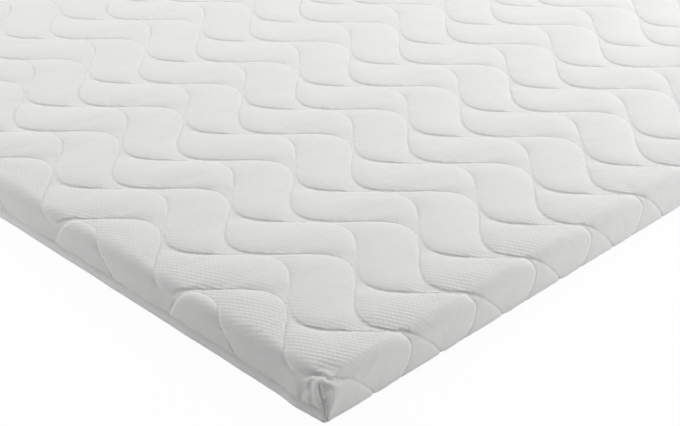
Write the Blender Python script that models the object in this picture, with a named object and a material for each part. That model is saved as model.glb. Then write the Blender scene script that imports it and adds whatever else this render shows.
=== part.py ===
# Quilted mattress topper: one filled body, quilted in waved seams, and the plain
# lower border strip let in along each long side. Metres, +Z up. The origin is the
# middle of the underside, X runs across the topper and Y along it.

from math import copysign, cos, exp, floor, hypot, pi, sin

import bmesh
import bpy
from mathutils.geometry import delaunay_2d_cdt

# Whole topper
WIDTH = 1.800  # across
LENGTH = 2.000  # along
SEAM_INSET = 0.003  # sewn channels of the side walls, inside the width and length
SEAM_HEIGHT = 0.070  # sewn channels of the top, above the surface it lies on
EDGE_RADIUS = 0.013  # roll of the top edge and of the upright corners
FOOT_RADIUS = 0.005  # roll of the lower edge

# Quilting: two waved seams in each repeat, which run along Y and go on over the edges
REPEAT = 0.150  # across
WAVE_LENGTH = 0.300  # along
SEAM_KINDS = (
    # middle from the left side, amplitude, first crest from the front end
    (0.0556, 0.0525, 0.220),
    (0.1316, 0.0497, 0.290),
)
PUFF_HEIGHT = 0.0075  # crown of a wide puff above its seams
PUFF_SPAN = 0.040  # width at which a puff nears its full crown
PUFF_FULLNESS = 0.6  # below 1 the puff rises steeply beside its seam
WALL_CROWN = 0.6  # share of the crown that is left on the side walls

# Border strips, let into a recess under the quilted part of each long side
STRIP_HEIGHT = 0.0180
STRIP_DEPTH = 0.0080
STRIP_ROLL = 0.0050  # roll of the strip's outer edges
GAP = 0.0003  # between a strip and the body

# Steps of the mesh
STEP_ALONG = 0.0335  # between the points of a seam
SHOULDER = 0.0110  # from a seam to the first points inside its puffs, across
CROWN_SPACE = 0.0450  # a puff wider than two shoulders and this has middle points too
MERGE = 0.00001
NET_MERGE = 0.0002  # crossings in the flat net nearer than this are one point
NEAR = 0.0080  # points nearer than this to a seam or a fold are left out
RECESS_SPARING = 4  # every so many of the seam's steps along a recess
CORNER_RUN = 0.030  # stretch of wall that is eased round an upright corner
ROLL_STEPS = 2
WALL_STEPS = 2
FOOT_STEPS = 1
CREASE_ANGLE = pi / 3  # edges sharper than this, and the seams, are shaded as creases

HALF_X = WIDTH / 2 - SEAM_INSET - EDGE_RADIUS  # half sizes of the flat part of the top
HALF_Y = LENGTH / 2 - SEAM_INSET - EDGE_RADIUS


def quarter_turn(steps):
    return [pi / 2 * step / steps for step in range(1, steps + 1)]


def wall_rows():
    # Each fold of a side wall from the top edge down: how far it stands out from the
    # flat part of the top, its height, and its outward direction (out, up).
    rows = [(0.0, SEAM_HEIGHT, 0.0, 1.0)]
    for angle in quarter_turn(ROLL_STEPS):
        out = EDGE_RADIUS * sin(angle)
        height = SEAM_HEIGHT - EDGE_RADIUS * (1 - cos(angle))
        rows.append((out, height, sin(angle), cos(angle)))
    top, low = SEAM_HEIGHT - EDGE_RADIUS, STRIP_HEIGHT
    for step in range(1, WALL_STEPS + 1):
        rows.append((EDGE_RADIUS, top + (low - top) * step / WALL_STEPS, 1.0, 0.0))
    rows.append((EDGE_RADIUS, FOOT_RADIUS, 1.0, 0.0))
    for angle in quarter_turn(FOOT_STEPS):
        out = EDGE_RADIUS - FOOT_RADIUS * (1 - cos(angle))
        rows.append((out, FOOT_RADIUS * (1 - sin(angle)), cos(angle), 0.0))
    return rows


def recessed_rows(rows):
    # The same folds on a long side, where the wall steps in under its quilted part.
    inner = WIDTH / 2 - STRIP_DEPTH - HALF_X
    steps = len(rows) - QUILTED - 2
    heights = [STRIP_HEIGHT * (1 - step / steps) for step in range(steps + 1)]
    return rows[:QUILTED + 1] + [(inner, height, 0.0, 0.0) for height in heights]


def distances(rows):
    # Length of cloth from the top edge to each fold.
    total, found = 0.0, [0.0]
    for before, after in zip(rows, rows[1:]):
        total += hypot(after[0] - before[0], after[1] - before[1])
        found.append(total)
    return found


QUILTED = ROLL_STEPS + WALL_STEPS  # number of the fold where a long side's quilting ends
PLAIN_ROWS = wall_rows()
RECESSED_ROWS = recessed_rows(PLAIN_ROWS)
ROW_DISTANCES = distances(PLAIN_ROWS)
DROP = ROW_DISTANCES[-1]
QUILTED_DROP = ROW_DISTANCES[QUILTED]


def seam_across(line, along):
    # Place across of one waved seam; even and odd lines are the two kinds.
    pair, kind = divmod(line, 2)
    middle, amplitude, crest = SEAM_KINDS[kind]
    turn = 2 * pi * (along + LENGTH / 2 - crest) / WAVE_LENGTH
    return pair * REPEAT - WIDTH / 2 + middle + amplitude * cos(turn)


def seam_lean(line, along):
    # Cosine of the seam's slant, which turns a width across into a true one.
    amplitude, crest = SEAM_KINDS[line % 2][1:]
    rate = 2 * pi / WAVE_LENGTH
    return 1 / hypot(1, amplitude * rate * sin(rate * (along + LENGTH / 2 - crest)))


def seam_left_of(across, along):
    line = floor((across + WIDTH / 2) / REPEAT * 2)
    while seam_across(line, along) > across:
        line -= 1
    while seam_across(line + 1, along) <= across:
        line += 1
    return line


def puff(across, along):
    # Height of the filled cloth above its seams: a rounded crown between two lines.
    line = seam_left_of(across, along)
    left = (across - seam_across(line, along)) * seam_lean(line, along)
    right = (seam_across(line + 1, along) - across) * seam_lean(line + 1, along)
    span = left + right
    crown = PUFF_HEIGHT * (1 - exp(-(span / PUFF_SPAN) ** 2))
    return crown * max(4 * left * right / span ** 2, 0.0) ** PUFF_FULLNESS


def eased(share):
    share = min(max(share, 0.0), 1.0)
    return share * share * (3 - 2 * share)


def wall_section(rows, distance):
    # Out, height and direction of the wall at a length of cloth below the top edge.
    row = 0
    while row < len(rows) - 2 and ROW_DISTANCES[row + 1] < distance:
        row += 1
    span = ROW_DISTANCES[row + 1] - ROW_DISTANCES[row]
    share = min(max((distance - ROW_DISTANCES[row]) / span, 0.0), 1.0)
    return [a + (b - a) * share for a, b in zip(rows[row], rows[row + 1])]


def round_corner(along, half, out):
    # The last stretch of a wall is eased round the upright corner, up to its seam.
    start = half - CORNER_RUN
    reach = abs(along) - start
    if reach <= 0:
        return along, out
    path = reach * (CORNER_RUN + pi / 4 * out) / CORNER_RUN
    if path <= CORNER_RUN:
        return copysign(start + path, along), out
    angle = (path - CORNER_RUN) / out
    return copysign(half + out * sin(angle), along), out * cos(angle)


def wall_point(along, half, distance, crown, long_side):
    # Place of a point of the flat net on a side wall: along it, out from it, height.
    end = half - abs(along)
    out, height, out_way, up_way = wall_section(PLAIN_ROWS, distance)
    if long_side and distance > QUILTED_DROP + MERGE and end > MERGE:
        out, height, out_way, up_way = wall_section(RECESSED_ROWS, distance)
    crown *= 1 - (1 - WALL_CROWN) * eased(distance / ROW_DISTANCES[ROLL_STEPS])
    along, out = round_corner(along, half, out + crown * out_way)
    return along, out, height + crown * up_way


def folded(across, along):
    # A point of the flat net, on the topper.
    over_x = abs(across) - HALF_X
    over_y = abs(along) - HALF_Y
    if over_x > MERGE:
        crown = puff(across, along) * eased((HALF_Y - abs(along)) / CORNER_RUN)
        y, out, z = wall_point(along, HALF_Y, over_x, crown, True)
        return copysign(HALF_X + out, across), y, z
    if over_y > MERGE:
        crown = puff(across, along) * eased((HALF_X - abs(across)) / CORNER_RUN)
        x, out, z = wall_point(across, HALF_X, over_y, crown, False)
        return x, copysign(HALF_Y + out, along), z
    crown = puff(across, along) * eased(hypot(over_x, over_y) / CORNER_RUN)
    return across, along, SEAM_HEIGHT + crown


def steps_between(low, high, step):
    count = round((high - low) / step)
    return [low + (high - low) * index / count for index in range(count + 1)]


class Net:
    # The flat net of the cover: the top with its four walls folded out.

    def __init__(self):
        self.points = []
        self.lines = []
        self.sewn = set()

    def chain(self, points, sewn=False):
        first = len(self.points)
        self.points.extend(points)
        for index in range(first, len(self.points) - 1):
            if sewn:
                self.sewn.add(len(self.lines))
            self.lines.append((index, index + 1))

    def triangles(self):
        # The net's points, its triangles, and the edges that lie on a seam.
        found = delaunay_2d_cdt(self.points, self.lines, [], 0, NET_MERGE, True)
        points, edges, faces, sources = found[0], found[1], found[2], found[4]
        faces = [face for face in faces if self.holds(points, face)]
        seams = [edge for edge, lines in zip(edges, sources) if self.sewn & set(lines)]
        return points, faces, seams

    @staticmethod
    def holds(points, face):
        across = sum(points[i].x for i in face) / len(face)
        along = sum(points[i].y for i in face) / len(face)
        return abs(across) < HALF_X or abs(along) < HALF_Y


def along_steps():
    return steps_between(-HALF_Y, HALF_Y, STEP_ALONG)


def seam_lines():
    low = seam_left_of(-HALF_X - DROP, 0.0) - 1
    return range(low, -low + 1 + 2 * round(WIDTH / REPEAT))


def seam_reach(along):
    # How far across the seams are drawn: down to the strips, or just short of a corner.
    return HALF_X + QUILTED_DROP if abs(along) < HALF_Y - NEAR else HALF_X - NEAR


def on_roll(across):
    # Where a seam crosses the rolled edge, only the folds give it points.
    return -NEAR < abs(across) - HALF_X < ROW_DISTANCES[ROLL_STEPS] + NEAR / 2


def add_seams(net):
    # Every seam with a point at each step, and at each fold of the end walls.
    folds = [HALF_Y + distance for distance in ROW_DISTANCES[1:]]
    stations = [-fold for fold in reversed(folds)] + along_steps() + folds
    for line in seam_lines():
        run = []
        for along in stations:
            across = seam_across(line, along)
            if abs(across) >= seam_reach(along):
                net.chain(run, sewn=True)
                run = []
            elif not on_roll(across):
                run.append((across, along))
        net.chain(run, sewn=True)


def puff_points(left, right):
    # Places across a puff: its shoulders beside the two seams, and its crown.
    space = right - left - 2 * SHOULDER
    if space > CROWN_SPACE:
        return left + SHOULDER, (left + right) / 2, right - SHOULDER
    if space > SHOULDER:
        return left + SHOULDER, right - SHOULDER
    if space > 0:
        return ((left + right) / 2,)
    return ()


def add_puff_points(net):
    for line in seam_lines():
        for along in along_steps()[1:-1]:
            left, right = seam_across(line, along), seam_across(line + 1, along)
            for across in puff_points(left, right):
                if abs(across) < HALF_X - NEAR:
                    net.chain([(across, along)])


def add_long_side_folds(net):
    # Close points down to the quilting's end, and few in the straight recess below it.
    for side in (-1, 1):
        for row, distance in enumerate(ROW_DISTANCES):
            across = side * (HALF_X + distance)
            inner = along_steps()[1:-1]
            if row > QUILTED:
                inner = inner[::RECESS_SPARING]
            run = [-HALF_Y, -HALF_Y + NEAR / 2] + inner + [HALF_Y - NEAR / 2, HALF_Y]
            net.chain([(across, along) for along in run])


def add_end_folds(net):
    # Points of an end wall's fold between its seams, which already hold points there.
    for side in (-1, 1):
        for distance in ROW_DISTANCES:
            along = side * (HALF_Y + distance)
            seams = [seam_across(line, along) for line in seam_lines()]
            seams = [across for across in seams if abs(across) < HALF_X - NEAR]
            run = list(seams)
            for across in steps_between(-HALF_X, HALF_X, STEP_ALONG):
                ends = abs(abs(across) - HALF_X) < MERGE
                if ends or min(abs(across - seam) for seam in seams) > NEAR:
                    run.append(across)
            net.chain([(across, along) for across in sorted(run)])


def add_corner_edges(net):
    # The edges of the walls that meet at the upright corners, split at the folds.
    for side_x in (-1, 1):
        for side_y in (-1, 1):
            x, y = side_x * HALF_X, side_y * HALF_Y
            net.chain([(x + side_x * distance, y) for distance in ROW_DISTANCES])
            net.chain([(x, y + side_y * distance) for distance in ROW_DISTANCES])


def close_underside(mesh):
    # One flat underside: a plain rectangle in the middle, joined to the lower edge.
    rim = [edge for edge in mesh.edges if edge.is_boundary]
    half_x, half_y = HALF_X - CORNER_RUN, HALF_Y - CORNER_RUN
    corners = [(-half_x, -half_y), (-half_x, half_y), (half_x, half_y), (half_x, -half_y)]
    points = [mesh.verts.new((x, y, 0.0)) for x, y in corners]
    middle = mesh.faces.new(points)
    bmesh.ops.triangle_fill(mesh, edges=rim + list(middle.edges), use_beauty=True)


def cloth(name, colour, roughness):
    material = bpy.data.materials.new(name)
    material.use_nodes = True
    shader = material.node_tree.nodes["Principled BSDF"]
    shader.inputs["Base Color"].default_value = (*colour, 1.0)
    shader.inputs["Roughness"].default_value = roughness
    shader.inputs["Sheen Weight"].default_value = 0.2
    return material


def finish(name, mesh, material, collection):
    bmesh.ops.recalc_face_normals(mesh, faces=mesh.faces)
    for face in mesh.faces:
        face.smooth = True
    for edge in mesh.edges:
        edge.smooth = edge.smooth and edge.calc_face_angle(0.0) < CREASE_ANGLE
    data = bpy.data.meshes.new(name)
    mesh.to_mesh(data)
    mesh.free()
    data.materials.append(material)
    collection.objects.link(bpy.data.objects.new(name, data))


def quilted_body(collection):
    net = Net()
    add_corner_edges(net)
    add_long_side_folds(net)
    add_end_folds(net)
    add_seams(net)
    add_puff_points(net)
    points, faces, seams = net.triangles()
    mesh = bmesh.new()
    corners = [mesh.verts.new(folded(point.x, point.y)) for point in points]
    for face in faces:
        mesh.faces.new([corners[index] for index in face])
    for start, end in seams:
        edge = mesh.edges.get((corners[start], corners[end]))
        if edge:
            edge.smooth = False
    loose = [corner for corner in mesh.verts if not corner.link_faces]
    bmesh.ops.delete(mesh, geom=loose, context="VERTS")
    bmesh.ops.remove_doubles(mesh, verts=mesh.verts, dist=MERGE)
    close_underside(mesh)
    knit = cloth("quilted_knit", (0.86, 0.86, 0.85), 0.85)
    finish("quilted_body", mesh, knit, collection)


def border_strip(name, side, collection):
    # A straight band with rolled outer edges, in the recess of a long side.
    mesh = bmesh.new()
    bmesh.ops.create_cube(mesh, size=1.0)
    size = (STRIP_DEPTH - GAP, 2 * HALF_Y - 2 * GAP, STRIP_HEIGHT - GAP)
    bmesh.ops.scale(mesh, vec=size, verts=mesh.verts)
    middle = (side * (WIDTH / 2 - size[0] / 2), 0.0, size[2] / 2)
    bmesh.ops.translate(mesh, vec=middle, verts=mesh.verts)
    outer = [edge for edge in mesh.edges
             if all(side * v.co.x > WIDTH / 2 - MERGE for v in edge.verts)
             and edge.calc_length() > LENGTH / 2]
    bmesh.ops.bevel(mesh, geom=outer, offset=STRIP_ROLL, segments=3, profile=0.5,
                    affect="EDGES")
    knit = cloth("plain_knit", (0.84, 0.84, 0.83), 0.88)
    finish(name, mesh, knit, collection)


def main():
    for item in list(bpy.data.objects):
        bpy.data.objects.remove(item, do_unlink=True)
    collection = bpy.data.collections.new("mattress_topper")
    bpy.context.scene.collection.children.link(collection)
    quilted_body(collection)
    border_strip("border_strip_left", -1, collection)
    border_strip("border_strip_right", 1, collection)


main()
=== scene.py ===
import time
from math import cos, pi, radians, sin

import bmesh
import bpy
import numpy as np
from mathutils import Matrix, Vector
from mathutils.geometry import delaunay_2d_cdt


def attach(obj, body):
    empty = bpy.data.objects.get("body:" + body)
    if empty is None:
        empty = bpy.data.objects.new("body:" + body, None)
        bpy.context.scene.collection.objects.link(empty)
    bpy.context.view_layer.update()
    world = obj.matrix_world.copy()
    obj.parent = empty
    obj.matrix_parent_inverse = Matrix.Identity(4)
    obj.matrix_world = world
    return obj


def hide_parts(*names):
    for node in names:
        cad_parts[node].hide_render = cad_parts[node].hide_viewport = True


# Quilted mattress topper in white knit. Metres, +Z up, X across and Y along the topper.
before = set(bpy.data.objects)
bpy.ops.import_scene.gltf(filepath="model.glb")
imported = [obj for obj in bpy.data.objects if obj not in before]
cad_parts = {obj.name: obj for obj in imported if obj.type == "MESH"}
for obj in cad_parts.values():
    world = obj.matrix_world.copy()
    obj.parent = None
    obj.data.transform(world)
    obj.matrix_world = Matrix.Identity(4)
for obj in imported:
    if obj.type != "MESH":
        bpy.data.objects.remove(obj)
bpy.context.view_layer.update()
startTime = time.time()


def report(stage):
    print(f"[topper] {stage}, {time.time() - startTime:.0f} s")


quilting = {
    "repeat": 0.150,           # two waved seams in each repeat across
    "waveLength": 0.300,       # along
    "kinds": (                 # middle from the left side, amplitude, first crest from the front
        (0.0556, 0.0525, 0.220),
        (0.1316, 0.0497, 0.290),
    ),
    "puffHeight": 0.0062,      # crown of a wide puff above its seams
    "puffSpan": 0.044,         # width at which a puff nears its full crown
    "fullness": 0.50,          # below 1 the cloth rises steeply beside a seam
    "wallCrown": 0.34,         # share of the crown left on the long side walls
    "endCrown": 0.26,          # and on the end walls
    "sideShrink": 0.80,        # the seams stand steeper on the long sides than on the flat cloth
    "sideShift": 0.25,         # how far they lean back there for each length down the wall
    "sideShiftRun": 0.033,     # cloth length over which that starts
    "cornerClear": 0.004,      # no seam is sewn this near an upright corner seam
}

cover = {
    "width": 1.800,
    "length": 2.000,
    "seamInset": 0.003,        # sewn channels of the walls, inside the width and length
    "seamHeight": 0.070,       # sewn channels of the top
    "edgeRadius": 0.021,       # roll of the top edge and the upright corners
    "footRadius": 0.006,       # roll of the lower edge
    "tuckHeight": 0.0152,      # where the quilted wall turns in above a band
    "tuckDepth": 0.0062,
    "tuckRise": 0.0090,        # height of wall that is drawn in
    "tuckSweep": 1.20,         # radians that it turns
    "cornerRun": 0.030,        # wall that is eased round an upright corner
    "cornerRadius": 0.003,     # of the sharper upright corner at the foot
    "underRun": 0.012,         # cloth turned under the foot
    "footLift": 0.0022,        # how far a seam lifts the lower edge of an end wall
    "footLiftCrown": 0.35,     # share of the wall's crown at which that lift has ended
    "footLiftRun": 0.020,      # length of wall over which it fades at a corner
    "fill": 0.55,
}

netSteps = {
    "seam": 0.0080,            # points along a seam
    "seamSamples": 8001,       # for measuring a seam's own length
    "seamEnd": 0.001,          # a seam stops this far above the wall's sewn lower edge
    "slope": 0.0001,           # half the step that gives a seam's slope
    "groove": (0.0018, 0.0048),  # rows of points on each side of a seam
    "grooveEnd": 0.002,        # and these rows stop this far above the edge
    "grooveSpan": 2.6,         # narrowest puff that takes a row, in distances of the row
    "grooveClear": 0.7,        # nearest that a row's point comes to a seam, in the same
    "grooveRowClear": 0.0009,  # and to a row of the wall
    "fill": 0.0092,            # points inside the puffs
    "fillEdge": 0.62,          # first row of them from the top's edge, in steps
    "fillClear": 0.42,         # their distance from the rows of a seam, in steps
    "narrow": 0.0030,          # their distance from the seams of a narrow puff
    "wall": 0.0075,            # points along a wall's rows
    "wallClear": (0.0034, 0.0030),  # distance of a wall's points from a seam, in every other row
    "rollRow": 0.0052,         # rows of the rolled top edge
    "wallRow": 0.0075,
    "tuckRow": 0.0032,         # rows where the wall turns in, and of the lower edge
    "lowRow": 0.0070,          # rows behind a band
    # first points of a wall beside its corner seam
    "corner": (0.0008, 0.0020, 0.0034, 0.0050, 0.0070, 0.0092, 0.0116, 0.0142, 0.0170, 0.0200, 0.0232),
    "join": 0.0004,            # points of the flat net that lie nearer than this become one
    "merge": 0.00002,          # points of the folded net at its corner seams
}

hair = 1e-6                    # less than any step of the net
farGap = 0.05                  # given as the distance to a seam where no seam is near
halfX = cover["width"] / 2 - cover["seamInset"] - cover["edgeRadius"]
halfY = cover["length"] / 2 - cover["seamInset"] - cover["edgeRadius"]
kinds = np.array(quilting["kinds"])
cornerSides = ((-1, -1), (-1, 1), (1, -1), (1, 1))


def eased(share):
    share = np.clip(share, 0.0, 1.0)
    return share * share * (3 - 2 * share)


def overEdges(across, along):
    # how far a place lies beyond the flat top, across and along
    return np.abs(across) - halfX, np.abs(along) - halfY


def seamAcross(line, along):
    # place across of one waved seam; even and odd lines are the two kinds
    line = np.asarray(line)
    middle, amplitude, crest = kinds[line % 2].T
    turn = 2 * pi * (along + cover["length"] / 2 - crest) / quilting["waveLength"]
    return line // 2 * quilting["repeat"] - cover["width"] / 2 + middle + amplitude * np.cos(turn)


def seamLean(line, along):
    # cosine of the seam's slant, which turns a width across into a true one
    amplitude, crest = kinds[np.asarray(line) % 2].T[1:]
    rate = 2 * pi / quilting["waveLength"]
    slope = amplitude * rate * np.sin(rate * (along + cover["length"] / 2 - crest))
    return 1 / np.hypot(1, slope)


def leanBack(over):
    return quilting["sideShift"] * over * eased(over / quilting["sideShiftRun"])


def toPattern(across, along):
    # a place on the cloth, in the even pattern of the top
    over = np.maximum(np.abs(across) - halfX, 0)
    return across - np.copysign((1 - quilting["sideShrink"]) * over, across), along + leanBack(over)


def toCloth(across, along):
    # and the other way round
    over = np.maximum(np.abs(across) - halfX, 0) / quilting["sideShrink"]
    return across + np.copysign((1 - quilting["sideShrink"]) * over, across), along - leanBack(over)


def seamLeftOf(across, along):
    # starts three lines too far left, then moves right while the next seam is still on the left
    line = np.floor((across + cover["width"] / 2) / quilting["repeat"] * 2).astype(int) - 3
    for _ in range(6):
        line += seamAcross(line + 1, along) <= across
    return line


def seamGaps(across, along):
    # true distances to the seams on the left and on the right
    across, along = toPattern(across, along)
    line = seamLeftOf(across, along)
    left = (across - seamAcross(line, along)) * seamLean(line, along)
    right = (seamAcross(line + 1, along) - across) * seamLean(line + 1, along)
    return np.maximum(left, 0), np.maximum(right, 0)


def puff(across, along):
    # height of the cloth above its seams
    left, right = seamGaps(across, along)
    span = left + right
    crown = quilting["puffHeight"] * (1 - np.exp(-(span / quilting["puffSpan"]) ** 2))
    return crown * (4 * left * right / np.maximum(span, hair) ** 2) ** quilting["fullness"]


turnSteps = 9                  # points of each turn in a wall's section


def drawnIn(depth, rise, sweep):
    # a soft turn inward, to where it has swept round by an angle: inward and upward shares
    turn = np.linspace(0, sweep, turnSteps)
    return depth * (1 - np.cos(turn)) / (1 - cos(sweep)), rise * (1 - np.sin(turn) / sin(sweep))


def wallProfile(low, depth, rise, sweep, below):
    # rows of a wall from the top edge down: cloth length, out, height, and the way that puffs rise
    radius = cover["edgeRadius"]
    turn = np.linspace(0, pi / 2, turnSteps)
    inward, upward = drawnIn(depth, rise, sweep)
    out = list(radius * np.sin(turn)) + list(radius - inward) + below
    height = list(cover["seamHeight"] - radius * (1 - np.cos(turn)))
    height += list(low + upward) + [0.0] * len(below)
    outWay = list(np.sin(turn)) + list(np.cos(turn)) + [0.0] * len(below)
    upWay = list(np.cos(turn)) + [0.0] * (turnSteps + len(below))
    steps = np.hypot(np.diff(out), np.diff(height))
    length = np.concatenate([[0.0], np.cumsum(steps)])
    return length, np.array(out), np.array(height), np.array(outWay), np.array(upWay)


underOut = cover["edgeRadius"] - cover["footRadius"] - cover["underRun"]
plainWall = wallProfile(0.0, cover["footRadius"], cover["footRadius"], pi / 2, [underOut])
behindBand = cover["edgeRadius"] - cover["tuckDepth"]
tuckedWall = wallProfile(
    cover["tuckHeight"], cover["tuckDepth"], cover["tuckRise"], cover["tuckSweep"],
    [behindBand, underOut])
tuckedWall[0][-2:] = plainWall[0][-2:]
rollLength = plainWall[0][turnSteps - 1]  # cloth lengths, from the top edge down to the roll's end,
footLength = plainWall[0][-2]             # to the foot,
drop = plainWall[0][-1]                   # to the edge of the turned-under cloth
tuckLength = tuckedWall[0][2 * turnSteps - 1]  # and to the seam above a band


def sectionAt(profile, distance):
    return [np.interp(distance, profile[0], values) for values in profile[1:]]


def roundCorner(along, half, out, distance, longSide):
    # the wall's last stretch runs round the upright corner up to its seam
    run = cover["cornerRun"]
    limit = pi / 4 + leanAt(distance, longSide)
    sharp = eased((distance - rollLength) / (footLength - rollLength))
    radius = np.maximum(out + (np.minimum(out, cover["cornerRadius"]) - out) * sharp, 0)
    straight = run + out - radius
    reach = np.abs(along) - (half - run)
    path = reach * (straight + limit * radius) / run
    angle = np.clip((path - straight) / np.maximum(radius, hair), 0, limit)
    turned = np.where(angle > 0, half + out - radius + radius * np.sin(angle), half - run + path)
    newOut = np.where(angle > 0, out - radius + radius * np.cos(angle), out)
    inside = reach <= 0
    return np.where(inside, along, np.copysign(turned, along)), np.where(inside, out, newOut)


cornerSeam = {
    "pinch": 0.0032,           # how deep the seam draws the cloth in
    "footPinch": 0.0016,
    "reach": 0.0017,           # on the long side of the seam
    "endReach": 0.0007,        # on its other side, which laps over it
    "start": 0.018,            # cloth length below the top edge where it starts
    "startRun": 0.008,
    "lean": 0.75,              # its top leans towards the long side, in radians round the corner
    "tuckRun": 0.0012,         # the wall's turn above a band ends this near it
    "folds": 0.0009,           # small upright folds beside it, on the long side
    "foldStart": 0.0090,
    "foldSpace": 0.0120,
    "foldReach": 0.028,
    "bulge": 0.0042,           # the filling swells the long side near its corners
    "bulgePlace": 0.040,
    "bulgeReach": 0.026,
    "bulgeRun": 0.012,         # and is drawn in to nothing at the seam
}

cornerCap = {                  # the cloth gathers in a small cap over each corner, below a crease
    "crease": 0.0034,
    "creaseWidth": 0.0032,
    "creaseReach": (0.034, 0.019),  # along the long side and the end
    "place": 0.0060,           # cloth length below the top edge, at the corner
    "drop": (0.42, 0.75),      # how steeply it runs down the long side and the end
    "dome": 0.0020,
    "domePlace": 0.0110,       # below the crease
    "domeWidth": 0.0070,
    "domeReach": 0.034,
    "startRun": 0.003,         # cloth length over which it starts, from the top edge
}


def leanAt(distance, longSide):
    lean = cornerSeam["lean"] * (1 - np.clip(distance / footLength, 0, 1))
    return -lean if longSide else lean


def cornerBulge(end):
    away = (end - cornerSeam["bulgePlace"]) / cornerSeam["bulgeReach"]
    return cornerSeam["bulge"] * np.exp(-away ** 2)


def capCrown(end, distance, longSide):
    # height of the gathered cap above the plain corner, below zero in its crease
    side = 0 if longSide else 1
    below = distance - cornerCap["place"] - cornerCap["drop"][side] * end
    dome = np.exp(-((below - cornerCap["domePlace"]) / cornerCap["domeWidth"]) ** 2)
    crease = np.exp(-(below / cornerCap["creaseWidth"]) ** 2)
    crown = cornerCap["dome"] * dome * np.exp(-(end / cornerCap["domeReach"]) ** 2)
    crown -= cornerCap["crease"] * crease * np.exp(-(end / cornerCap["creaseReach"][side]) ** 2)
    return crown * eased(distance / cornerCap["startRun"])


def wallPoint(along, half, distance, crown, longSide):
    # place of the cloth on a wall: along it, out from the flat top's edge, and height
    end = half - np.abs(along)
    out, height, outWay, upWay = sectionAt(plainWall, distance)
    left = quilting["wallCrown" if longSide else "endCrown"]
    crown = crown * (1 - (1 - left) * eased(distance / rollLength))
    atSeam = 1 - np.clip(crown / (cover["footLiftCrown"] * quilting["puffHeight"] * left), 0, 1)
    crown = crown + capCrown(end, distance, longSide)
    above = distance < (footLength + drop) / 2  # false on the turned-under cloth
    started = eased((distance - cornerSeam["start"]) / cornerSeam["startRun"]) * above
    eases = cornerSeam["footPinch"] - cornerSeam["pinch"]
    deep = cornerSeam["pinch"] + eases * eased(distance / footLength)
    reach = cornerSeam["reach"] if longSide else cornerSeam["endReach"]
    bulge = -deep * np.exp(-(end / reach) ** 2) * started
    if longSide:
        tucked = sectionAt(tuckedWall, distance)
        share = np.clip(end / cornerSeam["tuckRun"], 0, 1)
        pairs = zip((out, height, outWay), tucked)
        out, height, outWay = (plain + (drawn - plain) * share for plain, drawn in pairs)
        past = np.maximum(end - cornerSeam["foldStart"], 0)
        folds = np.cos(2 * pi * past / cornerSeam["foldSpace"]) - 1
        folds *= cornerSeam["folds"] * np.exp(-past / cornerSeam["foldReach"])
        low = eased((distance - rollLength / 2) / rollLength) * above
        swollen = cornerBulge(end) * low * eased(end / cornerSeam["bulgeRun"])
        bulge = bulge + folds * started + swollen
    else:
        low = eased((distance - rollLength) / (footLength - rollLength))
        low *= eased(end / cover["footLiftRun"]) * above
        height = height + cover["footLift"] * atSeam * low
    along, out = roundCorner(along, half, out + crown * outWay + bulge, distance, longSide)
    return along, out, height + crown * upWay


def folded(across, along):
    # points of the flat net, on the topper
    overX, overY = overEdges(across, along)
    crown = puff(across, along)
    endX = eased(-overY / cover["cornerRun"])
    endY = eased(-overX / cover["cornerRun"])
    points = np.stack([across, along, np.full_like(across, cover["seamHeight"])], -1)
    top = (overX <= hair) & (overY <= hair)
    points[top, 2] += (crown * eased(np.hypot(overX, overY) / cover["cornerRun"]))[top]
    side = overX > hair
    y, out, z = wallPoint(along[side], halfY, overX[side], (crown * endX)[side], True)
    points[side] = np.stack([np.copysign(halfX + out, across[side]), y, z], -1)
    side = overY > hair
    x, out, z = wallPoint(across[side], halfX, overY[side], (crown * endY)[side], False)
    points[side] = np.stack([x, np.copysign(halfY + out, along[side]), z], -1)
    return points


def spread(low, high, step):
    return np.linspace(low, high, max(1, round((high - low) / step)) + 1)


def wallRowLengths():
    # cloth lengths of the wall's rows of points
    roll = spread(0, rollLength, netSteps["rollRow"])
    tuckStart, footStart = tuckedWall[0][turnSteps], plainWall[0][turnSteps]
    wall = spread(rollLength, tuckStart, netSteps["wallRow"])[1:]
    tuck = spread(tuckStart, tuckLength, netSteps["tuckRow"])[1:]
    low = spread(tuckLength, footStart, netSteps["lowRow"])[1:]
    under = spread(footStart, footLength, netSteps["tuckRow"])[1:]
    return np.concatenate([roll, wall, tuck, low, under, [drop]])


class Net:                     # points, lines between them, and which points are sewn
    def __init__(self):
        self.points, self.lines, self.sewn = [], [], []

    def add(self, across, along, chained=False, sewn=False):
        first = len(self.points)
        self.points.extend(zip(across, along))
        self.sewn.extend([sewn] * len(across))
        if chained:
            self.lines.extend((index, index + 1) for index in range(first, len(self.points) - 1))


def seamLines():
    # numbers of all the seams that reach the cloth
    low = int(seamLeftOf(np.array([-halfX - drop]), np.array([0.0]))[0]) - 1
    return range(low, -low + 1 + 2 * round(cover["width"] / quilting["repeat"]))


def seamStations():
    # places along at equal steps of a seam's own length, the same for every seam of a kind
    fine = np.linspace(-halfY - footLength, halfY + footLength, netSteps["seamSamples"])
    stations = []
    for kind in (0, 1):
        speed = 1 / seamLean(np.full(fine.shape, kind), fine)
        length = np.concatenate([[0], np.cumsum((speed[1:] + speed[:-1]) / 2 * np.diff(fine))])
        count = round(length[-1] / netSteps["seam"])
        stations.append(np.interp(np.linspace(0, length[-1], count + 1), length, fine))
    return stations


def onCloth(across, along, margin=0.0):
    # where the cloth is quilted
    overX, overY = overEdges(across, along)
    onSide = (overX < tuckLength - margin) & (overY < -quilting["cornerClear"])
    onEnd = (overY < footLength + hair) & (overX < -quilting["cornerClear"])
    return onSide | onEnd


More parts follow.
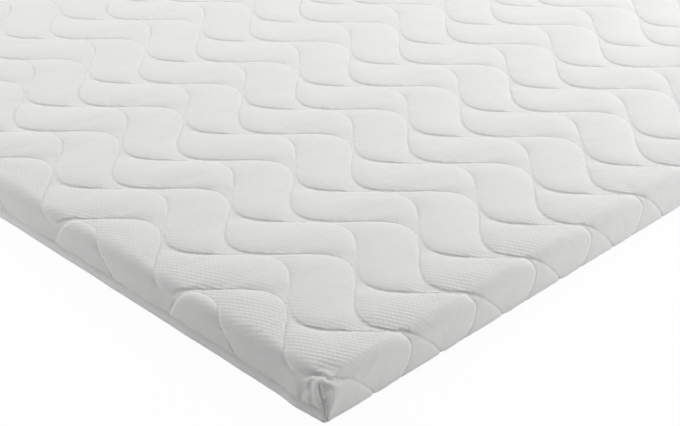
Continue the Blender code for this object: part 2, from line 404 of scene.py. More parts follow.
def addSeams(net):
    stations = seamStations()
    for line in seamLines():
        along = stations[line % 2]
        across, along = toCloth(seamAcross(np.full(along.shape, line), along), along)
        kept = onCloth(across, along, netSteps["seamEnd"])
        for run in np.split(np.arange(len(along)), np.flatnonzero(np.diff(kept)) + 1):
            if kept[run[0]] and len(run) > 1:
                net.add(across[run], along[run], chained=True, sewn=True)


rowLengths = wallRowLengths()
rollRows = rowLengths[rowLengths < rollLength + hair]
betweenRows = (rollRows[1:] + rollRows[:-1]) / 2  # extra rows that only the corners have
edgeLengths = np.sort(np.concatenate([rowLengths, betweenRows]))


def nearRow(x, y):
    over = np.maximum(*overEdges(x, y))
    return np.abs(over[:, None] - rowLengths).min(axis=1) < netSteps["grooveRowClear"]


def addGrooveRows(net):
    # rows beside each seam, left out where the next seam is too near
    stations = seamStations()
    step = netSteps["slope"]
    for line in seamLines():
        along = stations[line % 2][1:-1]
        lines = np.full(along.shape, line)
        across = seamAcross(lines, along)
        slope = (seamAcross(lines, along + step) - seamAcross(lines, along - step)) / (2 * step)
        lean = 1 / np.hypot(1, slope)
        for offset in netSteps["groove"]:
            for side in (-1, 1):
                x, y = toCloth(across + side * offset * lean, along - side * offset * slope * lean)
                left, right = seamGaps(x, y)
                clear = left + right > netSteps["grooveSpan"] * offset
                clear &= np.minimum(left, right) > netSteps["grooveClear"] * offset
                clear &= onCloth(x, y, netSteps["grooveEnd"]) & ~nearRow(x, y)
                clear &= np.abs(y) < halfY + footLength - netSteps["grooveEnd"]
                net.add(x[clear], y[clear])


def wallStations(half, step):
    # places along a wall or band, closer together beside the corner seams
    ends = half - np.array([0.0, *netSteps["corner"]])
    inner = ends[-1] - step / 2
    return np.sort(np.concatenate([-ends, spread(-inner, inner, step), ends]))


def addWallRows(net):
    # rows of points along each wall, left out beside a seam
    for index, length in enumerate(rowLengths):
        last = index == len(rowLengths) - 1
        for side in (-1, 1):
            for half, other, swap in ((halfY, halfX, False), (halfX, halfY, True)):
                along = wallStations(half, netSteps["wall"])
                across = np.full(along.shape, side * (other + length))
                x, y = (along, across) if swap else (across, along)
                left, right = seamGaps(x, y)
                ends = half - np.abs(along) < netSteps["corner"][-1] + hair
                clear = np.minimum(left, right) > netSteps["wallClear"][index % 2]
                clear |= ends | ~onCloth(x, y) | last
                net.add(x[clear], y[clear], chained=last)


def addCornerRows(net):
    # rows between those of the rolled edge, beside each upright corner
    ends = np.array(netSteps["corner"])
    for length in betweenRows:
        for sideX, sideY in cornerSides:
            net.add(np.full(ends.shape, sideX * (halfX + length)), sideY * (halfY - ends))
            net.add(sideX * (halfX - ends), np.full(ends.shape, sideY * (halfY + length)))


def addFill(net):
    # even triangles inside the puffs
    step, lastRow = netSteps["fill"], netSteps["groove"][-1]
    edge = step * netSteps["fillEdge"]
    rows = spread(-halfY + edge, halfY - edge, step * 0.866)  # height of an even triangle
    for index, along in enumerate(rows):
        x = spread(-halfX + edge, halfX - edge, step) + (step / 2 if index % 2 else 0)
        x = x[x < halfX - edge / 2]
        y = np.full(x.shape, along)
        left, right = seamGaps(x, y)
        nearest = np.minimum(left, right)
        clear = (left + right < netSteps["grooveSpan"] * lastRow) & (nearest > netSteps["narrow"])
        clear |= nearest > lastRow + step * netSteps["fillClear"]
        net.add(x[clear], y[clear])


def flatNet():
    # triangles of the flat cloth, with every seam along their edges
    net = Net()
    addSeams(net)
    seamSteps = len(net.lines)
    for sideX, sideY in cornerSides:  # the edges that meet at an upright corner
        net.add(sideX * (halfX + edgeLengths), np.full(edgeLengths.shape, sideY * halfY), True)
        net.add(np.full(edgeLengths.shape, sideX * halfX), sideY * (halfY + edgeLengths), True)
    addWallRows(net)
    addCornerRows(net)
    addGrooveRows(net)
    addFill(net)
    points = [Vector(point) for point in net.points]
    found, edges, triangles, pointSources, edgeSources, _ = delaunay_2d_cdt(
        points, net.lines, [], 0, netSteps["join"], True)
    flat = np.array([tuple(point) for point in found])
    faces = np.array(triangles)
    middle = flat[faces].mean(axis=1)
    inside = (np.abs(middle[:, 0]) < halfX) | (np.abs(middle[:, 1]) < halfY)
    sewn = np.array([any(net.sewn[source] for source in sources) for sources in pointSources])
    onSeam = [any(source < seamSteps for source in sources) for sources in edgeSources]
    return flat, faces[inside], sewn, np.array(edges)[onSeam]


flat, faces, sewn, seamEdges = flatNet()
report(f"flat net of {len(flat)} points and {len(faces)} triangles")

swelling = {
    "frames": 16,
    "cap": 0.0011,             # how far a point may move
    "wallCap": 0.0004,         # the walls are pulled smooth
    "cloth": {
        "quality": 4,
        "mass": 0.2,
        "tension_stiffness": 18,
        "compression_stiffness": 18,
        "shear_stiffness": 4,
        "bending_stiffness": 0.02,
        "tension_damping": 8,
        "compression_damping": 8,
        "air_damping": 4,
        "vertex_group_mass": "held",
        "shrink_min": -0.008,  # spare length, which gathers into small wrinkles
        "use_pressure": True,
        "uniform_pressure_force": 1.5,
    },
}

# strength of the ribs' relief and of the painted shade in their hollows
ribAndShadeStrength = {
    "middle": 0.30,            # strength of the ribs away from the edges
    "edgeReach": 0.095,        # how far in from an edge the ribs stay strong
    "cornerReach": 0.60,       # they are strongest this near a corner
    "farEdge": 0.50,
    "endWall": 0.03,           # strength on the end walls, which are pulled smooth
    "longWall": 0.16,
    "fade": 0.012,             # the walls' smoothness starts this far in on the top
}


def ribStrength(across, along):
    # the ribs' relief and the painted shade in their hollows are weak over the full middle and strong
    # towards the edges and corners
    inX, inY = -np.array(overEdges(across, along))
    edge = np.exp(-(np.maximum(np.minimum(inX, inY), 0) / ribAndShadeStrength["edgeReach"]) ** 2)
    corner = np.exp(-(np.hypot(inX, inY) / ribAndShadeStrength["cornerReach"]) ** 2)
    edge *= ribAndShadeStrength["farEdge"] + (1 - ribAndShadeStrength["farEdge"]) * corner
    top = ribAndShadeStrength["middle"] + (1 - ribAndShadeStrength["middle"]) * edge
    wall = np.where(inX < 0, ribAndShadeStrength["longWall"], ribAndShadeStrength["endWall"])
    return top + (wall - top) * eased((ribAndShadeStrength["fade"] - np.minimum(inX, inY)) / rollLength)


def giveValues(data, name, values, kind="FLOAT"):
    values = values.astype(np.float32 if kind == "FLOAT" else np.int32)
    data.attributes.new(name, kind, "POINT").data.foreach_set("value", values)


def readValues(items, name, width=1, kind=np.float32):
    found = np.empty(len(items) * width, dtype=kind)
    items.foreach_get(name, found)
    return found


def coordinates(data):
    return readValues(data.vertices, "co", 3).reshape(-1, 3).astype(float)


def giveNet(data, net):
    # the flat cloth's own measures as the UV map that the knit follows
    corner = readValues(data.loops, "vertex_index", kind=np.int32)
    uv = data.uv_layers.new(name="clothNet")
    uv.data.foreach_set("uv", net[corner].astype(np.float32).ravel())


def heldPoints(x, y):
    # points that the swelling leaves in place: seams, the lower edge and the upright corner seams
    overX, overY = overEdges(x, y)
    over = np.maximum(overX, overY)
    longSide = overX > 0
    end = np.where(longSide, -overY, -overX)
    low = over > np.where(longSide, tuckLength, footLength) - netSteps["seamEnd"]
    return sewn | low | (over > hair) & (end < netSteps["corner"][0] / 2)


def outward(data, merge=0.0):
    # merges double points where asked, and turns every face outward
    mesh = bmesh.new()
    mesh.from_mesh(data)
    if merge:
        bmesh.ops.remove_doubles(mesh, verts=mesh.verts, dist=merge)
    bmesh.ops.recalc_face_normals(mesh, faces=mesh.faces)
    mesh.to_mesh(data)
    mesh.free()


def coverMesh():
    x, y = flat.T
    data = bpy.data.meshes.new("quiltedCover")
    data.from_pydata(folded(x, y).tolist(), [], faces.tolist())
    giveNet(data, flat)
    gap = np.minimum(np.minimum(*seamGaps(x, y)), farGap)
    giveValues(data, "seamGap", np.where(onCloth(x, y), gap, farGap))
    giveValues(data, "ribStrength", ribStrength(x, y))
    giveValues(data, "sideStreaks", eased((np.abs(x) - halfX) / rollLength))
    giveValues(data, "held", heldPoints(x, y))
    giveValues(data, "flatPlace", np.arange(len(flat)), "INT")
    outward(data, netSteps["merge"])
    return data


def swell(piece):
    # the pressed filling lifts the cloth between its held seams, and the spare cloth wrinkles
    held = readValues(piece.data.attributes["held"].data, "value") > 0.5
    group = piece.vertex_groups.new(name="held")
    group.add(np.flatnonzero(held).tolist(), 1.0, "REPLACE")
    start = coordinates(piece.data)
    modifier = piece.modifiers.new("swelling", "CLOTH")
    for name, value in swelling["cloth"].items():
        setattr(modifier.settings, name, value)
    modifier.settings.effector_weights.gravity = 0
    modifier.collision_settings.use_collision = False
    modifier.point_cache.frame_start = 1
    modifier.point_cache.frame_end = swelling["frames"]
    for number in range(1, swelling["frames"] + 1):
        bpy.context.scene.frame_set(number)
    moved = piece.evaluated_get(bpy.context.evaluated_depsgraph_get())
    shift = coordinates(moved.data) - start
    piece.modifiers.remove(modifier)
    piece.vertex_groups.clear()
    bpy.context.scene.frame_set(1)
    length = np.linalg.norm(shift, axis=1)
    over = np.maximum(*overEdges(start[:, 0], start[:, 1]))
    change = swelling["wallCap"] - swelling["cap"]
    cap = swelling["cap"] + change * eased(over / cover["edgeRadius"])
    shift *= (cap / np.hypot(length, cap))[:, None]
    piece.data.vertices.foreach_set("co", (start + shift).astype(np.float32).ravel())
    piece.data.update()


def closeUnderside(data):
    # one flat underside: a plain rectangle in the middle, joined to the turned-under cloth
    mesh = bmesh.new()
    mesh.from_mesh(data)
    rim = [edge for edge in mesh.edges if edge.is_boundary]
    x, y = halfX - cover["cornerRun"], halfY - cover["cornerRun"]
    points = [mesh.verts.new(point) for point in ((-x, -y, 0), (-x, y, 0), (x, y, 0), (x, -y, 0))]
    middle = mesh.faces.new(points)
    made = bmesh.ops.triangle_fill(mesh, edges=rim + list(middle.edges), use_beauty=True)["geom"]
    uv = mesh.loops.layers.uv["clothNet"]
    gap = mesh.verts.layers.float["seamGap"]
    for point in points:
        point[gap] = farGap
    for face in [middle] + [item for item in made if isinstance(item, bmesh.types.BMFace)]:
        for loop in face.loops:
            loop[uv].uv = loop.vert.co.xy
    bmesh.ops.recalc_face_normals(mesh, faces=mesh.faces)
    mesh.to_mesh(data)
    mesh.free()


def newObject(name, data):
    made = bpy.data.objects.new(name, data)
    bpy.context.scene.collection.objects.link(made)
    return made


def placed(name, data):
    data.shade_smooth()
    return newObject(name, data)


stitches = {
    "pitch": 0.0040,           # along the quilting
    "length": 0.0033,
    "width": 0.00080,
    "lift": 0.00015,           # how far they stand proud of the cloth
    "sides": 4,
    "bandPitch": 0.0036,       # along the borders
    "bandLength": 0.0024,
    "bandEnds": 2,             # points of a border's line left bare at each end
    "thread": {"Base Color": (0.86, 0.86, 0.85, 1), "Roughness": 0.45, "Sheen Weight": 0.2},
}


def seamPaths(data):
    # the sewn lines of the cover as points and edges, just proud of the cloth
    place = readValues(data.attributes["flatPlace"].data, "value", kind=np.int32)
    normals = readValues(data.vertex_normals, "vector", 3).reshape(-1, 3)
    points = coordinates(data) + stitches["lift"] * normals
    now = np.full(len(flat), -1)
    now[place] = np.arange(len(place))
    edges = now[seamEdges]
    edges = edges[(edges >= 0).all(axis=1)]
    used, renamed = np.unique(edges, return_inverse=True)
    return points[used], renamed.reshape(-1, 2)


quiltedCover = placed("quiltedCover", coverMesh())
report("cover folded")
swell(quiltedCover)
sewnPoints, sewnEdges = seamPaths(quiltedCover.data)
closeUnderside(quiltedCover.data)
quiltedCover.data.shade_smooth()
report("cover swollen and closed")

band = {
    "back": 0.0150,            # out from the flat top's edge
    "face": 0.0230,
    "height": 0.0144,
    "lowRoll": 0.0035,
    "lowPoints": 6,            # of that roll's section
    "topDepth": 0.0076,        # the top edge rolls in to the seam under the quilted wall
    "topRise": 0.0062,
    "topSweep": 1.20,
    "step": 0.0060,            # along
    "pucker": 0.0004,          # small cross folds from its stitching
    "puckerSpace": 0.0130,
    "wave": 0.0006,
    "waveSpace": 0.170,
    "endTuck": 0.0040,         # its ends draw in behind the corner seams
    "endReach": 0.0026,
    "seeds": (11, 12),         # left and right
    "fill": 0.4,
}


def bandSection():
    # closed section, out and height, from the back round the face
    turn = np.linspace(0, pi / 2, band["lowPoints"])
    low, rise = band["lowRoll"], band["topRise"]
    inward, upward = drawnIn(band["topDepth"], rise, band["topSweep"])
    shoulder = band["height"] - rise
    out = [band["back"]] + list(band["face"] - low + low * np.sin(turn)) + [band["face"]]
    out += list(band["face"] - inward) + [band["back"]]
    height = [0.0] + list(low - low * np.cos(turn)) + [(low + shoulder) / 2]
    height += list(shoulder + rise - upward) + [band["height"]]
    return np.array(out), np.array(height)


def ripple(along, space, seed):
    # smooth irregular wave of three lengths, the same each run
    rng = np.random.default_rng(seed)
    total = np.zeros_like(along)
    for rate in (1.0, 1.63, 2.71):
        total += np.sin(2 * pi * along * rate / space + rng.uniform(0, 2 * pi)) / (1 + rate)
    return total


def tubeFaces(rows, count):
    # quads between neighbouring rings of points, and a cap on each end
    quads = []
    for first in range(0, (rows - 1) * count, count):
        for column in range(count):
            low, high = first + column, first + (column + 1) % count
            quads.append((low, high, high + count, low + count))
    return quads + [tuple(range(count)), tuple(range((rows - 1) * count, rows * count))]


def bandMesh(name, side, seed):
    # the band's section, moved in and out along the topper and round its two ends
    out, height = bandSection()
    along = wallStations(halfY, band["step"])
    end = halfY - np.abs(along)
    bulge = band["pucker"] * ripple(along, band["puckerSpace"], seed)
    bulge += band["wave"] * ripple(along, band["waveSpace"], seed + 1) + cornerBulge(end)
    bulge -= band["endTuck"] * np.exp(-(end / band["endReach"]) ** 2)
    moved = np.outer(bulge, (out - band["back"]) / (band["face"] - band["back"])) + out
    distance = footLength - np.tile(height, len(along))
    y, x = roundCorner(np.repeat(along, len(out)), halfY, moved.ravel(), distance, True)
    points = np.stack([side * (halfX + x), y, np.tile(height, len(along))], -1)
    data = bpy.data.meshes.new(name)
    data.from_pydata(points.tolist(), [], tubeFaces(len(along), len(out)))
    around = np.concatenate([[0], np.cumsum(np.hypot(np.diff(out), np.diff(height)))])
    giveNet(data, np.stack([np.tile(around, len(along)), np.repeat(along, len(out))], -1))
    outward(data)
    return data


bandLeft = placed("borderBandLeft", bandMesh("borderBandLeft", -1, band["seeds"][0]))
bandRight = placed("borderBandRight", bandMesh("borderBandRight", 1, band["seeds"][1]))
report("bands")


def feed(tree, node, given):
    # each input takes a link from an output, or a constant
    for name, value in given.items():
        if isinstance(value, bpy.types.NodeSocket):
            tree.links.new(value, node.inputs[name])
        else:
            node.inputs[name].default_value = value


def newNode(tree, kind, given=None, **settings):
    node = tree.nodes.new(kind)
    for name, value in settings.items():
        setattr(node, name, value)
    feed(tree, node, given or {})
    return node


def newSockets(tree, way, names, kind):
    for name in names:
        tree.interface.new_socket(name, in_out=way, socket_type="NodeSocket" + kind)


def stitchTree():
    # short closed stitches laid along the edges of a mesh of lines
    tree = bpy.data.node_groups.new("stitchRow", "GeometryNodeTree")
    newSockets(tree, "INPUT", ("Line",), "Geometry")
    newSockets(tree, "INPUT", ("Pitch", "Length", "Width"), "Float")
    newSockets(tree, "INPUT", ("Sides",), "Int")
    newSockets(tree, "INPUT", ("Thread",), "Material")
    newSockets(tree, "OUTPUT", ("Stitches",), "Geometry")
    given = newNode(tree, "NodeGroupInput").outputs
    curve = newNode(tree, "GeometryNodeMeshToCurve", {"Mesh": given["Line"]}).outputs["Curve"]
    points = newNode(
        tree, "GeometryNodeCurveToPoints", {"Curve": curve, "Length": given["Pitch"]},
        mode="LENGTH").outputs
    ball = newNode(tree, "GeometryNodeMeshUVSphere", {  # one across, then scaled to size
        "Segments": given["Sides"], "Rings": 2, "Radius": 0.5}).outputs["Mesh"]
    size = newNode(tree, "ShaderNodeCombineXYZ", {
        "X": given["Width"], "Y": given["Width"], "Z": given["Length"]}).outputs[0]
    grain = newNode(tree, "GeometryNodeTransform", {"Geometry": ball, "Scale": size}).outputs[0]
    copies = newNode(tree, "GeometryNodeInstanceOnPoints", {
        "Points": points["Points"], "Rotation": points["Rotation"], "Instance": grain}).outputs[0]
    real = newNode(tree, "GeometryNodeRealizeInstances", {"Geometry": copies}).outputs[0]
    finished = newNode(tree, "GeometryNodeSetMaterial", {
        "Geometry": real, "Material": given["Thread"]}).outputs[0]
    newNode(tree, "NodeGroupOutput", {"Stitches": finished})
    return tree


def sewAlong(name, points, edges, pitch, length):
    # the finished stitches as a plain mesh
    lines = bpy.data.meshes.new(name + "Path")
    lines.from_pydata(points.tolist(), edges.tolist(), [])
    path = newObject(name + "Path", lines)
    modifier = path.modifiers.new("sewing", "NODES")
    modifier.node_group = stitchRow
    values = {"Pitch": pitch, "Length": length, "Width": stitches["width"],
              "Sides": stitches["sides"], "Thread": whiteThread}
    for item in stitchRow.interface.items_tree:
        if item.name in values:
            modifier[item.identifier] = values[item.name]
    found = path.evaluated_get(bpy.context.evaluated_depsgraph_get())
    data = bpy.data.meshes.new_from_object(found)
    path.modifiers.remove(modifier)
    bpy.data.objects.remove(path)
    bpy.data.meshes.remove(lines)
    return placed(name, data)


def bandStitchLine(data):
    # the row of a band's points at the top of its lower roll
    points = coordinates(data)[band["lowPoints"]::len(bandSection()[0])]
    points[:, 0] += np.copysign(stitches["lift"], points[:, 0])
    order = np.argsort(points[:, 1])
    return points[order[stitches["bandEnds"]:-stitches["bandEnds"]]]


def sewBands():
    # both rows of border stitches as one piece
    lines = [bandStitchLine(piece.data) for piece in (bandLeft, bandRight)]
    steps = np.arange(len(lines[0]) - 1)
    edges = np.stack([steps, steps + 1], -1)
    return sewAlong(
        "bandStitches", np.concatenate(lines), np.concatenate([edges, edges + len(lines[0])]),
        stitches["bandPitch"], stitches["bandLength"])


ridge = {
    "first": 0.022,            # cloth length below the top edge
    "last": 0.050,
    "radius": 0.0013,
    "tip": 0.02,               # square of the ends' size, as a share of the middle's
    "beside": 0.0034,          # from the corner seam, on the long side
    "rows": 15,
    "sides": 8,
}


def ridgeMesh():
    # the bright ridge of gathered thread beside each upright corner seam
    rows, sides = ridge["rows"], ridge["sides"]
    lengths = np.linspace(ridge["first"], ridge["last"], rows)
    taper = np.sqrt(np.clip(1 - np.abs(np.linspace(-1, 1, rows)) ** 3, ridge["tip"], 1))
    turn = np.linspace(0, 2 * pi, sides, endpoint=False)
    points, faces = [], []
    for sideX, sideY in cornerSides:
        path = folded(sideX * (halfX + lengths), np.full(rows, sideY * (halfY - ridge["beside"])))
        along = np.gradient(path, axis=0)
        along /= np.linalg.norm(along, axis=1)[:, None]
        out = np.array([sideX, sideY, 0.0]) - along * (along @ [sideX, sideY, 0.0])[:, None]
        out /= np.linalg.norm(out, axis=1)[:, None]
        across = np.cross(along, out)
        size = (ridge["radius"] * taper)[:, None, None]
        around = np.cos(turn)[:, None] * out[:, None] + np.sin(turn)[:, None] * across[:, None]
        faces += [tuple(len(points) + index for index in face) for face in tubeFaces(rows, sides)]
        points += (path[:, None] + size * around).reshape(-1, 3).tolist()
    data = bpy.data.meshes.new("cornerRidges")
    data.from_pydata(points, [], faces)
    outward(data)
    return data


def newMaterial(name, values):
    # a material with the constants of its Principled shader
    material = bpy.data.materials.new(name)
    material.use_nodes = True
    tree = material.node_tree
    shader = tree.nodes["Principled BSDF"]
    feed(tree, shader, values)
    return material, tree, shader


stitchRow = stitchTree()
whiteThread = newMaterial("whiteThread", stitches["thread"])[0]
quiltStitches = sewAlong(
    "quiltStitches", sewnPoints, sewnEdges, stitches["pitch"], stitches["length"])
cornerRidges = placed("cornerRidges", ridgeMesh())
cornerRidges.data.materials.append(whiteThread)
bandStitches = sewBands()
report(f"stitches, {len(quiltStitches.data.polygons)} faces")


def mathNode(tree, operation, *given):
    return newNode(tree, "ShaderNodeMath", dict(enumerate(given)), operation=operation).outputs[0]


def noise(tree, place, scale, distortion=0.0):
    given = {"Vector": place, "Scale": scale, "Distortion": distortion}
    return newNode(tree, "ShaderNodeTexNoise", given).outputs[0]


knit = {
    "ribShare": 0.27,          # of the relief, half of it for each way from its middle
    "dashShare": 0.23,         # the ribs' short breaks
    "patchScale": 8.0,         # patches where the ribs are open, and where they are pulled flat
    "patchEdges": (0.40, 0.60),
    "streakPitch": 0.0066,     # upright streaks of the long walls
    "loopScale": 700.0,        # fine loops of the knit
    "creaseScale": 9.0,        # faint creases
    "creaseBend": 0.8,
    "creaseWidth": 0.055,
    "bump": 0.001,             # metres for a relief of one
    "grooveRun": 0.0046,       # distance from a seam at which its groove ends
    "seamHighlightRun": 0.010,          # and the distance that the tones below are shares of
    # painted highlight: colour factors from a seam outward, brightest at the seam
    "seamHighlightTones": ((0, 1.0), (0.12, 1.0), (0.30, 0.955), (0.60, 0.935), (1, 0.935)),
    "surface": {
        "Roughness": 0.9,
        "Sheen Weight": 0.18,
        "Sheen Roughness": 0.6,
        "Specular IOR Level": 0.2,
    },
}


def knitGroup():
    # rows of short ribs on a turned square net, over a fine knit; height in millimetres, and a mask of
    # painted shade in the ribs' hollows
    tree = bpy.data.node_groups.new("knitRelief", "ShaderNodeTree")

    def combine(operation, *given):
        return mathNode(tree, operation, *given)

    names = ("Pitch", "Turn", "Rib", "Loop", "Patchiness", "Strength", "Streaks", "Crease")
    newSockets(tree, "INPUT", names, "Float")
    newSockets(tree, "OUTPUT", ("Height", "HollowShade"), "Float")
    given = newNode(tree, "NodeGroupInput").outputs
    uv = newNode(tree, "ShaderNodeUVMap", uv_map="clothNet").outputs[0]
    turned = newNode(
        tree, "ShaderNodeVectorRotate", {"Vector": uv, "Angle": given["Turn"]},
        rotation_type="Z_AXIS").outputs[0]
    parts = newNode(tree, "ShaderNodeSeparateXYZ", {0: turned}).outputs
    rate = combine("DIVIDE", 2 * pi, given["Pitch"])
    across = combine("MULTIPLY", parts[0], rate)
    everyOther = combine("COSINE", combine("MULTIPLY", across, 0.5))
    dashes = combine("COSINE", combine("MULTIPLY", parts[1], rate))
    dashes = combine("MULTIPLY", dashes, everyOther)
    ribs = combine("MULTIPLY_ADD", combine("COSINE", across), knit["ribShare"], 0.5)
    mask = combine("MULTIPLY_ADD", dashes, knit["dashShare"], ribs)
    weak = combine("SUBTRACT", given["Strength"], 1.0)
    patched = newNode(tree, "ShaderNodeMapRange", {
        "Value": noise(tree, uv, knit["patchScale"]),
        "From Min": knit["patchEdges"][0],
        "From Max": knit["patchEdges"][1],
        "To Min": combine("MULTIPLY_ADD", weak, given["Patchiness"], 1.0)}).outputs[0]
    power = combine("MULTIPLY", patched, given["Strength"])
    # painted shade: the hollows between the ribs get a darker colour, as deep as the ribs are strong
    hollowShade = combine("MULTIPLY", combine("SUBTRACT", 1.0, mask), power)
    mask = combine("MULTIPLY", mask, power)
    along = newNode(tree, "ShaderNodeSeparateXYZ", {0: uv}).outputs[1]
    upright = combine("COSINE", combine("MULTIPLY", along, 2 * pi / knit["streakPitch"]))
    upright = combine("MULTIPLY", upright, patched)
    height = combine("MULTIPLY", mask, given["Rib"])
    loops = noise(tree, uv, knit["loopScale"])
    height = combine("MULTIPLY_ADD", loops, given["Loop"], height)
    height = combine("MULTIPLY_ADD", upright, given["Streaks"], height)
    bent = noise(tree, uv, knit["creaseScale"], knit["creaseBend"])
    crease = newNode(
        tree, "ShaderNodeMapRange", {
            "Value": combine("ABSOLUTE", combine("SUBTRACT", bent, 0.5)),
            "From Max": knit["creaseWidth"],
            "To Min": 1.0,
            "To Max": 0.0},
        interpolation_type="SMOOTHERSTEP").outputs[0]
    height = combine("ADD", height, combine("MULTIPLY", crease, given["Crease"]))
    newNode(tree, "NodeGroupOutput", {"Height": height, "HollowShade": hollowShade})
    return tree


def attribute(tree, name):
    return newNode(tree, "ShaderNodeAttribute", attribute_name=name).outputs["Fac"]


def grooveHeight(tree, seamGap, depth, height):
    # the relief, sunk beside each seam
    rise = newNode(
        tree, "ShaderNodeMapRange", {"Value": seamGap, "From Max": knit["grooveRun"]},
        interpolation_type="SMOOTHSTEP").outputs[0]
    return mathNode(tree, "MULTIPLY_ADD", rise, depth, height)


def seamHighlightColour(tree, seamGap, colour):
    # painted highlight: the colour is a little brighter near each seam, against the shade in its
    # groove
    share = mathNode(tree, "DIVIDE", seamGap, knit["seamHighlightRun"])
    seamHighlight = newNode(tree, "ShaderNodeValToRGB", {"Fac": share})
    ramp = seamHighlight.color_ramp.elements
    for place, value in knit["seamHighlightTones"]:
        element = ramp[0] if place == 0 else ramp.new(place) if place < 1 else ramp[-1]
        element.color = (value, value, value, 1)
    tint = {"Factor": 1.0, "A": colour, "B": seamHighlight.outputs["Color"]}
    tinted = newNode(tree, "ShaderNodeMix", tint, data_type="RGBA", blend_type="MULTIPLY")
    return tinted.outputs["Result"]


# colour of the rib crests, and a darker colour painted as shade into the ribs' hollows
finishes = {
    "quiltedKnit": {
        "ribs": (0.80, 0.80, 0.79, 1),
        "shadedHollows": (0.70, 0.70, 0.69, 1),
        "groove": 0.78,        # depth beside a seam
        "relief": {"Pitch": 0.0082, "Turn": -0.46, "Rib": 1.0, "Loop": 0.05,
                   "Patchiness": 0.85, "Streaks": 0.12, "Crease": 0.2},
    },
    "plainKnit": {
        "ribs": (0.88, 0.88, 0.87, 1),
        "shadedHollows": (0.83, 0.83, 0.82, 1),
        "groove": 0.0,
        "relief": {"Pitch": 0.0030, "Turn": 0.0, "Rib": 0.12, "Loop": 0.06,
                   "Patchiness": 0.3, "Strength": 1.0, "Streaks": 0.0, "Crease": 0.2},
    },
}


def knitMaterial(name):
    finish = finishes[name]
    material, tree, shader = newMaterial(name, knit["surface"])
    relief = newNode(tree, "ShaderNodeGroup", node_tree=knitRelief)
    feed(tree, relief, finish["relief"])
    height, hollowShade = relief.outputs
    # painted shade in the ribs' hollows
    tints = {"Factor": hollowShade, "A": finish["ribs"], "B": finish["shadedHollows"]}
    colour = newNode(tree, "ShaderNodeMix", tints, data_type="RGBA").outputs["Result"]
    if finish["groove"]:
        seamGap, side = attribute(tree, "seamGap"), attribute(tree, "sideStreaks")
        streaks = mathNode(tree, "MULTIPLY", side, finish["relief"]["Streaks"])
        feed(tree, relief, {"Strength": attribute(tree, "ribStrength"), "Streaks": streaks})
        height = grooveHeight(tree, seamGap, finish["groove"], height)
        # painted highlight along the seams
        colour = seamHighlightColour(tree, seamGap, colour)
    bump = newNode(tree, "ShaderNodeBump", {"Distance": knit["bump"], "Height": height})
    feed(tree, shader, {"Base Color": colour, "Normal": bump.outputs[0]})
    return material


knitRelief = knitGroup()
quiltedCover.data.materials.append(knitMaterial("quiltedKnit"))
plainKnit = knitMaterial("plainKnit")
for piece in (bandLeft, bandRight):
    piece.data.materials.append(plainKnit)
report("materials")

studio = {
    "floor": {"Base Color": (0.95, 0.95, 0.95, 1), "Roughness": 1.0, "Specular IOR Level": 0.0},
    "floorWhite": 0.96,        # how far the floor is overexposed to the camera
    "floorSize": 60.0,
    "floorDrop": 0.0002,       # below the topper's underside
    "sky": 0.05,
    "aim": (-0.4, -0.5, 0.0),
    "lamps": {                 # power, size, place
        "key": (52.0, 1.6, (2.2, 0.2, 3.0)),      # behind the topper, a little to the right
        "back": (33.0, 1.6, (0.6, 2.0, 3.2)),
        "top": (42.0, 3.0, (0.0, 0.0, 4.0)),
        "left": (82.0, 2.3, (-2.8, 2.5, 1.5)),
        "rightNear": (30.0, 2.0, (0.4, -3.6, 1.0)),
        "rightFar": (48.0, 2.0, (2.6, -2.0, 1.3)),
    },
}

view = {
    "focal": 1502.3,           # in pixels of the 680 wide picture
    "width": 680,
    "sensor": 36.0,
    "place": (-2.1206, -2.2025, 1.3582),
    "pitch": 30.296,
    "yaw": 44.127,
    "roll": 1.081,
}


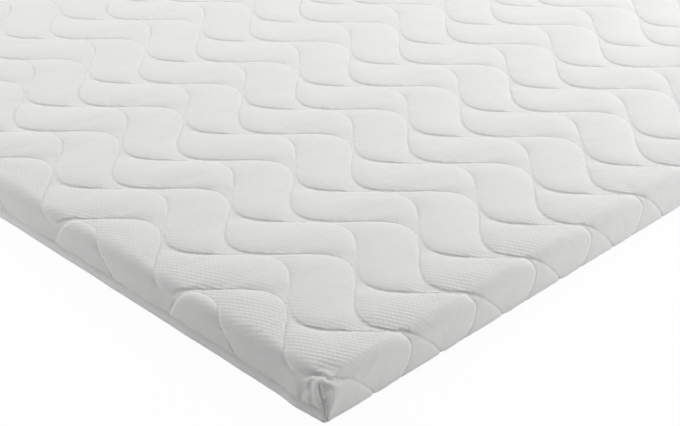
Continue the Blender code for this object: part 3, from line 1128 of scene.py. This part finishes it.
def floorMaterial():
    # pale, and nearly white where the camera sees it
    material, tree, shader = newMaterial("paleFloor", studio["floor"])
    seen = newNode(tree, "ShaderNodeLightPath").outputs["Is Camera Ray"]
    share = mathNode(tree, "MULTIPLY", seen, studio["floorWhite"])
    glow = newNode(tree, "ShaderNodeEmission").outputs[0]
    mix = newNode(tree, "ShaderNodeMixShader", {"Fac": share, 1: shader.outputs[0], 2: glow})
    feed(tree, tree.nodes["Material Output"], {"Surface": mix.outputs[0]})
    return material


def makeFloor():
    half, low = studio["floorSize"] / 2, -studio["floorDrop"]
    corners = [(-half, -half, low), (half, -half, low), (half, half, low), (-half, half, low)]
    data = bpy.data.meshes.new("floor")
    data.from_pydata(corners, [], [(0, 1, 2, 3)])
    floor = placed("floor", data)
    data.materials.append(floorMaterial())


def softBox(name, power, size, place):
    light = bpy.data.lights.new(name, "AREA")
    light.energy = power
    light.size = size
    lamp = newObject(name, light)
    lamp.location = place
    lamp.rotation_euler = (Vector(studio["aim"]) - lamp.location).to_track_quat("-Z", "Y").to_euler()


def makeLights():
    world = bpy.data.worlds.new("studio")
    world.use_nodes = True
    tree = world.node_tree
    feed(tree, tree.nodes["Background"], {"Color": (1, 1, 1, 1), "Strength": studio["sky"]})
    bpy.context.scene.world = world
    for name, values in studio["lamps"].items():
        softBox(name, *values)


def makeCamera():
    # looks down and along by the view's angles, turned a little about its own axis
    pitch, yaw, roll = (radians(view[name]) for name in ("pitch", "yaw", "roll"))
    ahead = Vector((cos(yaw) * cos(pitch), sin(yaw) * cos(pitch), -sin(pitch)))
    right = ahead.cross(Vector((0, 0, 1))).normalized()
    up = right.cross(ahead)
    turned = cos(roll) * right + sin(roll) * up
    upright = -sin(roll) * right + cos(roll) * up
    data = bpy.data.cameras.new("camera")
    data.sensor_width = view["sensor"]
    data.lens = view["focal"] * view["sensor"] / view["width"]
    camera = newObject("camera", data)
    columns = (turned, upright, -ahead, Vector(view["place"]))
    rows = [[column[index] for column in columns] for index in range(3)]
    camera.matrix_world = Matrix(rows + [[0, 0, 0, 1]])
    bpy.context.scene.camera = camera


makeFloor()
makeLights()
makeCamera()
bpy.context.scene.view_settings.view_transform = "Standard"
report("studio")

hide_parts("quilted_body")
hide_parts("border_strip_left")
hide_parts("border_strip_right")
for piece in (quiltedCover, bandLeft, bandRight, quiltStitches, bandStitches, cornerRidges):
    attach(piece, "root")
